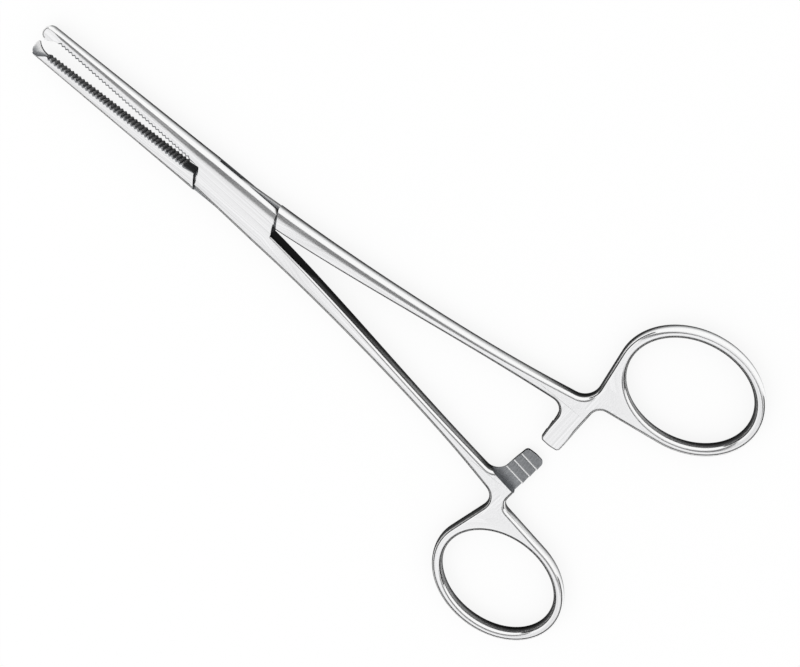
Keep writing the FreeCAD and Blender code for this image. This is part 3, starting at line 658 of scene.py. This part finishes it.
def outward(mesh):
    """The mesh with every face turned outwards, by the sign of its volume."""
    mesh.calc_loop_triangles()
    corners = np.zeros(len(mesh.loop_triangles) * 3, np.int32)
    mesh.loop_triangles.foreach_get("vertices", corners)
    a, b, c = read_field(mesh.vertices, "co")[corners.reshape(-1, 3)].transpose(1, 0, 2)
    if np.einsum("ij,ij->i", a, np.cross(b, c)).sum() < 0:
        mesh.flip_normals()
    return mesh


def add_object(name, data):
    """A new object in the scene."""
    made = bpy.data.objects.new(name, data)
    bpy.context.scene.collection.objects.link(made)
    return made


def carve(mesh, tools, materials):
    """The mesh with each tool's body taken away, exactly; a cut face keeps the tool's finish."""
    for body in [mesh] + tools:
        for material in materials:
            body.materials.append(material)
    piece = add_object(mesh.name, mesh)
    cutters = [add_object(tool.name, tool) for tool in tools]
    for cutter in cutters:
        modifier = piece.modifiers.new(cutter.name, "BOOLEAN")
        modifier.operation = "DIFFERENCE"
        modifier.solver = "EXACT"
        modifier.object = cutter
        modifier.material_mode = "INDEX"
    bpy.context.view_layer.update()
    carved = bpy.data.meshes.new_from_object(piece.evaluated_get(bpy.context.evaluated_depsgraph_get()))
    if len(carved.polygons) < len(mesh.polygons) / 2:
        raise RuntimeError(f"{mesh.name} lost its body when it was carved")
    for done in cutters + [piece]:
        bpy.data.objects.remove(done)
    return carved


def ratchet_tool(facing, slant):
    """What a ratchet tongue loses: ramps that rise to each crest and drop steeply behind it."""
    crest, top, count = -mm("ratchet_gap"), mm("lock_thickness"), plain("ratchet_teeth")
    rise, pitch, first = mm("ratchet_rise", "ratchet_pitch", "ratchet_first")
    grade = rise / pitch
    lead = first + mm("ratchet_reach") + 1
    profile = [(first - lead, crest - grade * (lead - CREST_LAND))]
    for tooth in range(count):
        y = first + tooth * pitch
        foot = crest - rise + (0 if tooth == count - 1 else CREST_FALL * grade)
        profile += [(y - CREST_LAND, crest), (y, crest), (y + CREST_FALL, foot)]
    # The ramps end in a wall a little inside the line of the shank's inner edge.
    wall = mm("shank_offsets")[3] - mm("shank_widths")[3] / 2 + 0.45
    profile += [(wall, crest - rise), (wall, top), (first - lead, top)]
    middle = mm("shank_length") + mm("ratchet_ahead")
    width = 2 * mm("ratchet_width")
    lean = slant * math.tan(plain("ratchet_slant"))
    start = np.array([(middle - width / 2, y - width / 2 * lean, facing * z) for y, z in profile])
    return tool_between("ratchet_tool", start, start + (width, width * lean, 0))


def slot_tool():
    """The opening through the box: a disc about the hinge, open to both of its sides."""
    radius, far, half = mm("slot_radius"), 3 * mm("lock_reach"), mm("slot_height") / 2
    ahead, behind = -jaw_line(-mm("lock_reach")), mm("shank_root")
    low = np.linspace(math.pi + math.asin(-ahead / radius), 1.5 * math.pi, 30)
    high = np.linspace(math.asin(behind / radius), 0.5 * math.pi, 30)
    lower_arc, upper_arc = (heading(turn) * radius for turn in (low, high))
    outline = np.concatenate([[[-far, ahead]], lower_arc, [[0, -far], [far, -far], [far, behind]],
                              upper_arc, [[0, far], [-far, far]]])
    return slab("slot_tool", outline, -half, half)


def shoulder_tools():
    """What the tongue arm loses above and below its neck, between its two oblique shoulders."""
    normal, far, top = heading(plain("lock_skew")), 60.0, mm("lock_thickness")
    run = left_of(normal)
    corner = oblique(True, -lock_side(mm("lock_reach")))
    reach = max(mm("lock_reach"), np.linalg.norm(corner)) + mm("shoulder_gap")
    strip = [normal * reach + run * far, normal * -reach + run * far,
             normal * -reach - run * far, normal * reach - run * far]
    neck = mm("slot_height") / 2 - mm("slot_gap")
    return [slab("upper_shoulders", strip, neck, top), slab("lower_shoulders", strip, -top, -neck)]


def tooth_tools(tongue):
    """The hollows beside the single tooth, or the notch between the two that it closes into."""
    tip, gap, foot = -mm("jaw_length"), mm("tooth_gap"), tooth_foot()
    rise, root, crest = mm("tooth_height", "tooth_root", "tooth_crest")
    depth, past = rise + 3 * gap, tip - 1
    grade = (root - crest) / (rise + depth)
    if tongue:
        floor = tooth_slope() * (1, -1) + (gap, -gap)
        plan = np.concatenate([floor, [[past, -depth], [past, 2 * rise], [floor[0][0], 2 * rise]]])
        face, clear = root - grade * (plan[:, 1] + depth), 3.0
        return [slab("upper_hollow", plan, face, clear), slab("lower_hollow", plan, -clear, -face)]
    low = -depth - gap
    plan = np.array([(foot, 2 * rise), (foot - mm("serration_depth"), 0),
                     (tip + mm("twin_inset"), low), (past, low), (past, 2 * rise)])
    half = crest + gap + grade * (plan[:, 1] - low)
    return [slab("notch", plan, -half, half)]


def grain_of(places):
    """Where each point lies in the grinding lines: along the steel, across it, and its height.

    Across jaw and lock that is the distance from the parting line, and across a shank it comes to be the
    distance from the shank's middle. Past the shank it is x, so that the lines follow the ratchet tongue.
    Round a ring it is how far the point stands out from the finger hole, so that they follow the ring.
    """
    x, y = places[:, 0], places[:, 1]
    shank_end, reach = mm("shank_length", "lock_reach")
    knots = np.linspace(reach, shank_end, 30)
    bend = np.clip((knots - reach) / LINES_BEND, 0, 1)
    middle = np.interp(x, knots, np.mean(shank_edges(knots), axis=0) * bend)
    centre, along, across = ring_axes(0)
    offset = places[:, :2] - centre
    from_hole = np.hypot(offset @ along / along.dot(along), offset @ across / across.dot(across)) - 1
    in_ring = from_hole * np.linalg.norm(across) < mm("ring_wire") + 1
    beside = np.where(x > shank_end + 2, x, y - middle)
    return np.column_stack([x, np.where(in_ring, from_hole * RING_LINES, beside), places[:, 2]])


def wear_and_highlight_of(places):
    """How close each point is to a crest that is painted bright, partly as wear and partly as a painted
    highlight: a serration's crest or a ratchet tooth's.

    On the ratchet it is the share of its rise. On the serrations the brightening reaches further down their
    grooves.
    """
    x, y, z = places.T
    depth = mm("serration_depth")
    heel = -mm("lock_reach") - mm("serration_start")
    share = np.clip((y + jaw_line(x) + depth / 2) / depth, 0, 1)
    serrated = (GROOVE_WEAR_AND_LIGHT + (CREST_WEAR_AND_LIGHT - GROOVE_WEAR_AND_LIGHT) * share) * (x < heel + 0.01)
    drop = np.abs(z) - mm("ratchet_gap")
    ratchet = np.clip(1 - drop / mm("ratchet_rise"), 0, 1) * (x > mm("shank_length"))
    return np.maximum(serrated, ratchet)


def place_arm(mesh, name, tongue):
    """The carved arm as an object: its grain, its smooth surfaces and its place in the frame."""
    places = read_field(mesh.vertices, "co")
    grain = mesh.attributes.new("grain", "FLOAT_VECTOR", "POINT")
    grain.data.foreach_set("vector", grain_of(places).astype(np.float32).ravel())
    # Rubbed crests, painted bright: partly real wear and partly a painted highlight.
    wear_and_highlight = mesh.attributes.new("wear_and_highlight", "FLOAT", "POINT")
    wear_and_highlight.data.foreach_set("value", wear_and_highlight_of(places).astype(np.float32))
    turn = plain("opening") / 2 * (1 if tongue else -1)
    if not tongue:
        places[:, 1] *= -1
        mesh.flip_normals()
    x = places[:, 0] * math.cos(turn) - places[:, 1] * math.sin(turn)
    y = places[:, 0] * math.sin(turn) + places[:, 1] * math.cos(turn)
    lifted = np.column_stack([x, y, places[:, 2] + mm("lock_thickness") / 2]) / METRE
    mesh.vertices.foreach_set("co", lifted.astype(np.float32).ravel())
    mesh.shade_smooth()
    mesh.set_sharp_from_angle(angle=SHARP_TURN)
    upright = np.abs(read_field(mesh.polygons, "normal")[:, 2])
    mesh.polygons.foreach_set("use_smooth", upright < LEVEL_NORMAL)
    mesh.update()
    return add_object(name, mesh)


def make_arm(name, tongue):
    """One arm, carved like the real one from a swept blank."""
    hole = stations(ring_points(0, 2 * math.pi, 0, 161)[:-1], mm("ring_bevel"), mm("ring_drop"),
                    mm("ring_thickness") / 2, RING_ROUND)
    hole["inward"] = left_of(np.roll(hole["at"], -1, axis=0) - np.roll(hole["at"], 1, axis=0))
    blank = swept_solid(name, arm_outline(tongue), hole)
    tools = shoulder_tools() + [ratchet_tool(-1, -1)] if tongue else [slot_tool(), ratchet_tool(1, 1)]
    finish = bpy.context.scene.forceps_finish
    carved = carve(blank, tools + tooth_tools(tongue), [satin_steel(finish), milled_steel(finish)])
    return place_arm(carved, name, tongue)


def node(tree, kind, settings=None, links=None):
    """Adds a node with its settings; links maps an input to a socket or to a value."""
    made = tree.nodes.new(kind)
    for key, value in (settings or {}).items():
        setattr(made, key, value)
    for key, value in (links or {}).items():
        if isinstance(value, bpy.types.NodeSocket):
            tree.links.new(value, made.inputs[key])
        else:
            made.inputs[key].default_value = value
    return made


def remap(tree, value, low, high, start=0.0, end=1.0, kind="LINEAR"):
    """A value carried from one range to another, and held at the ends."""
    return node(tree, "ShaderNodeMapRange", {"interpolation_type": kind}, {
        "Value": value, "From Min": low, "From Max": high, "To Min": start, "To Max": end}).outputs[0]


def maths(tree, operation, *values):
    """The result of a calculation with one or two values."""
    return node(tree, "ShaderNodeMath", {"operation": operation}, dict(enumerate(values))).outputs[0]


def mixed(tree, share, one, other, kind="MIX"):
    """Two colours mixed, or the one multiplied by the other."""
    return node(tree, "ShaderNodeMix", {"data_type": "RGBA", "blend_type": kind},
                {"Factor": share, "A": one, "B": other}).outputs["Result"]


def noise_over(tree, place, scale, detail, stretch=(1, 1, 1)):
    """Noise over a place that is stretched along its axes first."""
    place = node(tree, "ShaderNodeMapping", links={"Vector": place, "Scale": stretch}).outputs[0]
    return node(tree, "ShaderNodeTexNoise", links={
        "Vector": place, "Scale": scale, "Detail": detail}).outputs["Fac"]


def openness(tree, distance, **aim):
    """How much of the space round a point, or along an aim, is free of other surfaces up to a distance."""
    return node(tree, "ShaderNodeAmbientOcclusion", {"samples": 24},
                {"Distance": distance, **aim}).outputs["AO"]


def glow(tree, colour, strength):
    """A surface that shines evenly."""
    return node(tree, "ShaderNodeEmission", links={"Color": colour, "Strength": strength}).outputs[0]


def attribute(tree, name, output):
    """A value that the mesh carries at its points."""
    return node(tree, "ShaderNodeAttribute", {"attribute_name": name}).outputs[output]


def broken_edge(tree, radius):
    """The surface's normal, eased round every edge."""
    return node(tree, "ShaderNodeBevel", {"samples": 4}, {"Radius": radius}).outputs[0]


def metal(tree, colour, roughness, normal):
    """Bare metal."""
    return node(tree, "ShaderNodeBsdfPrincipled", links={
        "Base Color": colour, "Metallic": 1.0, "Roughness": roughness, "Normal": normal}).outputs[0]


def new_material(name):
    """An empty material and its node tree."""
    material = bpy.data.materials.new(name)
    material.use_nodes = True
    material.node_tree.nodes.clear()
    return material, material.node_tree


def put_on(tree, shader):
    """Makes a shader the surface of a material."""
    node(tree, "ShaderNodeOutputMaterial", links={"Surface": shader})


def satin_steel(finish):
    """Martensitic stainless steel, ground lengthwise on a belt and satin finished.

    The flats show fine lengthwise lines, the bevels are smoother, and the upright walls, which the belt
    does not reach, are toned duller, which is partly painted shade on the sides. Near other surfaces the
    colour is darkened by painted contact shade, which gives a dark line low on the walls.
    """
    if "satin steel" in bpy.data.materials:
        return bpy.data.materials["satin steel"]
    material, tree = new_material("satin steel")
    grain = attribute(tree, "grain", "Vector")
    across = 1 / (finish.line_spacing * METRE)
    lines = noise_over(tree, grain, 1.0, 3.0, (0.03, across, across))
    cloud = noise_over(tree, grain, 0.12, 1.0)
    normal = node(tree, "ShaderNodeNewGeometry").outputs["Normal"]
    level = maths(tree, "ABSOLUTE", node(tree, "ShaderNodeSeparateXYZ", links={0: normal}).outputs["Z"])
    # Upright faces take the wall tone by their normal: partly a duller finish, partly painted shade on the
    # sides.
    reached_and_lit = remap(tree, level, 0.12, 0.38, kind="SMOOTHSTEP")
    ground = remap(tree, level, 0.8, 0.97, kind="SMOOTHSTEP")
    lined = mixed(tree, 1.0, finish.flat, remap(tree, lines, 0.3, 0.7, 0.86, 1.04), "MULTIPLY")
    belt = mixed(tree, ground, finish.bevel, lined)
    tone = mixed(tree, reached_and_lit, finish.wall, belt)
    # Painted contact shade: the colour darkens where another surface stands within 4.6 mm, such as the table.
    painted_contact_shade = remap(tree, openness(tree, 0.0046), 0.83, 0.93, 0.06)
    colour = mixed(tree, 1.0, tone, painted_contact_shade, "MULTIPLY")
    roughness = maths(tree, "MULTIPLY", remap(tree, cloud, 0.3, 0.7, 0.18, 0.24),
                      remap(tree, ground, 0, 1, 0.55))
    bump = node(tree, "ShaderNodeBump", links={
        "Height": maths(tree, "MULTIPLY", lines, ground), "Strength": 0.12, "Distance": 0.00002,
        "Normal": broken_edge(tree, finish.edge_radius)})
    put_on(tree, metal(tree, colour, roughness, bump.outputs[0]))
    return material


def milled_steel(finish):
    """The same steel where a milling cutter left it: serrations, ratchet ramps, slot and shoulders.

    It is darker than the ground faces, with short cutter marks, and it turns bright towards the crests of
    serrations and ratchet teeth: partly wear, partly a painted highlight.
    """
    if "milled steel" in bpy.data.materials:
        return bpy.data.materials["milled steel"]
    material, tree = new_material("milled steel")
    marks = noise_over(tree, attribute(tree, "grain", "Vector"), 1.0, 2.0, (4.0, 0.4, 4.0))
    # Crests take the bevel colour: partly wear, partly a painted highlight.
    worn_and_lit = remap(tree, attribute(tree, "wear_and_highlight", "Fac"), 0.88, 0.97, kind="SMOOTHSTEP")
    marked = mixed(tree, 1.0, finish.groove, remap(tree, marks, 0.3, 0.7, 0.75, 1.15), "MULTIPLY")
    colour = mixed(tree, worn_and_lit, marked, finish.bevel)
    put_on(tree, metal(tree, colour, 0.5, broken_edge(tree, finish.edge_radius * 0.6)))
    return material


def white_table(finish):
    """A sheet of matt white card, lit evenly, that keeps the soft shadow of what lies on it.

    In reflections the card is a glow with painted shade: a dark line where the steel nearly touches it, and a
    painted narrow shadow on -Y.
    """
    material, tree = new_material("matt white card")
    # Painted shade for reflections only: darker near the steel, and darker on -Y as if lit from +Y.
    painted_contact_shade = remap(tree, openness(tree, 0.0024), 0.67, 0.77)
    aim = node(tree, "ShaderNodeCombineXYZ", links={"X": 0.4, "Y": 0.9, "Z": 0.2})
    painted_side_shadow = remap(tree, openness(tree, 0.04, Normal=aim.outputs[0]), 0.87, 0.97)
    painted_shade = remap(tree, maths(tree, "MINIMUM", painted_contact_shade, painted_side_shadow), 0, 1, 0.06)
    card = node(tree, "ShaderNodeBsdfPrincipled", links={"Base Color": finish.table, "Roughness": 0.9})
    path = node(tree, "ShaderNodeLightPath")
    share = maths(tree, "MULTIPLY", path.outputs["Is Camera Ray"], 0.86)
    seen = node(tree, "ShaderNodeMixShader", links={
        0: share, 1: card.outputs[0], 2: glow(tree, finish.table, 1.0)})
    both = node(tree, "ShaderNodeMixShader", links={
        0: path.outputs["Is Glossy Ray"], 1: seen.outputs[0], 2: glow(tree, finish.table, painted_shade)})
    put_on(tree, both.outputs[0])
    return material


def background_rays(tree):
    """One for rays from the camera, off metal and through glass, which all see the white background."""
    path = node(tree, "ShaderNodeLightPath")
    first = maths(tree, "MAXIMUM", path.outputs["Is Camera Ray"], path.outputs["Is Glossy Ray"])
    return maths(tree, "MAXIMUM", first, path.outputs["Is Transmission Ray"])


def sheet(name, centre, half_length, half_width):
    """A level rectangle."""
    x, y, z = centre
    corners = [(x + a * half_length, y + b * half_width, z) for a, b in ((-1, -1), (1, -1), (1, 1), (-1, 1))]
    return build_mesh(name, corners, [[0, 1, 2, 3]], [0])


def reflected_only(mesh, material):
    """Adds a piece of the stage that only reflections see."""
    mesh.materials.append(material)
    piece = add_object(mesh.name, mesh)
    piece.visible_camera = False
    piece.visible_diffuse = False
    piece.visible_shadow = False


def overhead_strip():
    """A long level card over the forceps, which glows an even grey: painted light in place of lit grey paper.
    """
    material, tree = new_material("overhead strip painted glow")
    put_on(tree, glow(tree, linear("#767676"), 1.0))
    reflected_only(sheet("overhead strip", (0.03, 0.21, 0.9), 1.2, 0.17), material)


def studio_wall():
    """The dark wall round the table: an arc carried straight up, open on +Y.

    It glows with painted light and shade: nearly black at the foot, fading to a white glow at its top edge.
    """
    arc = heading(np.linspace(math.radians(150), math.radians(390), WALL_STEPS + 1)) * WALL_RADIUS
    rows = np.stack([np.column_stack([arc, np.full(len(arc), z)]) for z in (-0.02, WALL_HEIGHT)])
    mesh = build_mesh("studio wall", rows.reshape(-1, 3), tube(rows)[:-1].tolist(), [0] * WALL_STEPS)
    material, tree = new_material("dark wall painted glow")
    place = node(tree, "ShaderNodeTexCoord").outputs["Object"]
    up = node(tree, "ShaderNodeSeparateXYZ", links={0: place}).outputs["Z"]
    # Painted light and shade: the glow's strength rises from the foot to the top edge.
    fade = remap(tree, up, 0.6 * WALL_HEIGHT, WALL_HEIGHT, 0.02, 1.0, "SMOOTHSTEP")
    put_on(tree, glow(tree, (1, 1, 1, 1), fade))
    reflected_only(mesh, material)


class FORCEPS_OT_box_arm(bpy.types.Operator):
    """Builds the arm that the box and its slot belong to, with the pin ground away in it"""
    bl_idname = "forceps.box_arm"
    bl_label = "Box arm"

    def execute(self, context):
        piece = make_arm("box_arm_steel", False)
        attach(piece, "box_arm")
        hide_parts("box_arm", "hinge_pin")
        return {"FINISHED"}


class FORCEPS_OT_tongue_arm(bpy.types.Operator):
    """Builds the arm whose neck passes through the box"""
    bl_idname = "forceps.tongue_arm"
    bl_label = "Tongue arm"

    def execute(self, context):
        piece = make_arm("tongue_arm_steel", True)
        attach(piece, "tongue_arm")
        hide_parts("tongue_arm")
        return {"FINISHED"}


class FORCEPS_OT_stage(bpy.types.Operator):
    """Lays out the white table, the lamp, what the steel reflects, and the camera"""
    bl_idname = "forceps.stage"
    bl_label = "Table, light and camera"

    def execute(self, context):
        scene = context.scene
        table = add_object("table", sheet("table", (0, 0, 0), 3.0, 3.0))
        table.data.materials.append(white_table(scene.forceps_finish))
        table.location.z = -0.0002

        world = bpy.data.worlds.new("white room")
        world.use_nodes = True
        tree = world.node_tree
        tree.nodes.clear()
        strength = remap(tree, background_rays(tree), 0, 1, 0.9, 1.0)
        sky = node(tree, "ShaderNodeBackground", links={"Color": (1, 1, 1, 1), "Strength": strength})
        node(tree, "ShaderNodeOutputWorld", links={"Surface": sky.outputs[0]})
        scene.world = world

        overhead_strip()
        studio_wall()

        lamp = add_object("soft box", bpy.data.lights.new("soft box", "AREA"))
        lamp.data.shape = "RECTANGLE"
        lamp.data.size = 0.9
        lamp.data.size_y = 0.6
        lamp.data.energy = 1.5
        lamp.location = (-0.2, -0.5, 0.9)
        lamp.rotation_euler = (math.radians(28), math.radians(-12), 0)
        lamp.visible_glossy = False

        camera = add_object("camera", bpy.data.cameras.new("camera"))
        camera.data.lens = CAMERA_LENS
        camera.data.sensor_width = 36.0
        camera.data.clip_start = 0.01
        camera.location = CAMERA_PLACE
        camera.rotation_euler = [math.radians(a) for a in CAMERA_TURN]
        scene.camera = camera
        scene.view_settings.view_transform = "Standard"
        return {"FINISHED"}


class FORCEPS_PT_panel(bpy.types.Panel):
    """The forceps' pieces, sizes and finish"""
    bl_idname = "FORCEPS_PT_panel"
    bl_label = "Artery forceps"
    bl_space_type = "VIEW_3D"
    bl_region_type = "UI"
    bl_category = "Forceps"

    def draw(self, context):
        for operator in OPERATORS:
            self.layout.operator(operator.bl_idname)
        for group in (context.scene.forceps_shape, context.scene.forceps_finish):
            box = self.layout.box()
            for name in group.__annotations__:
                box.prop(group, name)


GROUPS = (ForcepsShape, ForcepsFinish)
OPERATORS = (FORCEPS_OT_box_arm, FORCEPS_OT_tongue_arm, FORCEPS_OT_stage)


def register():
    for made in GROUPS + OPERATORS + (FORCEPS_PT_panel,):
        bpy.utils.register_class(made)
    bpy.types.Scene.forceps_shape = PointerProperty(type=ForcepsShape)
    bpy.types.Scene.forceps_finish = PointerProperty(type=ForcepsFinish)


def unregister():
    del bpy.types.Scene.forceps_finish
    del bpy.types.Scene.forceps_shape
    for made in (FORCEPS_PT_panel,) + OPERATORS[::-1] + GROUPS[::-1]:
        bpy.utils.unregister_class(made)


def main():
    """Registers the add-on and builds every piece."""
    register()
    bpy.ops.forceps.box_arm()
    bpy.ops.forceps.tongue_arm()
    bpy.ops.forceps.stage()


if __name__ == "__main__":
    main()
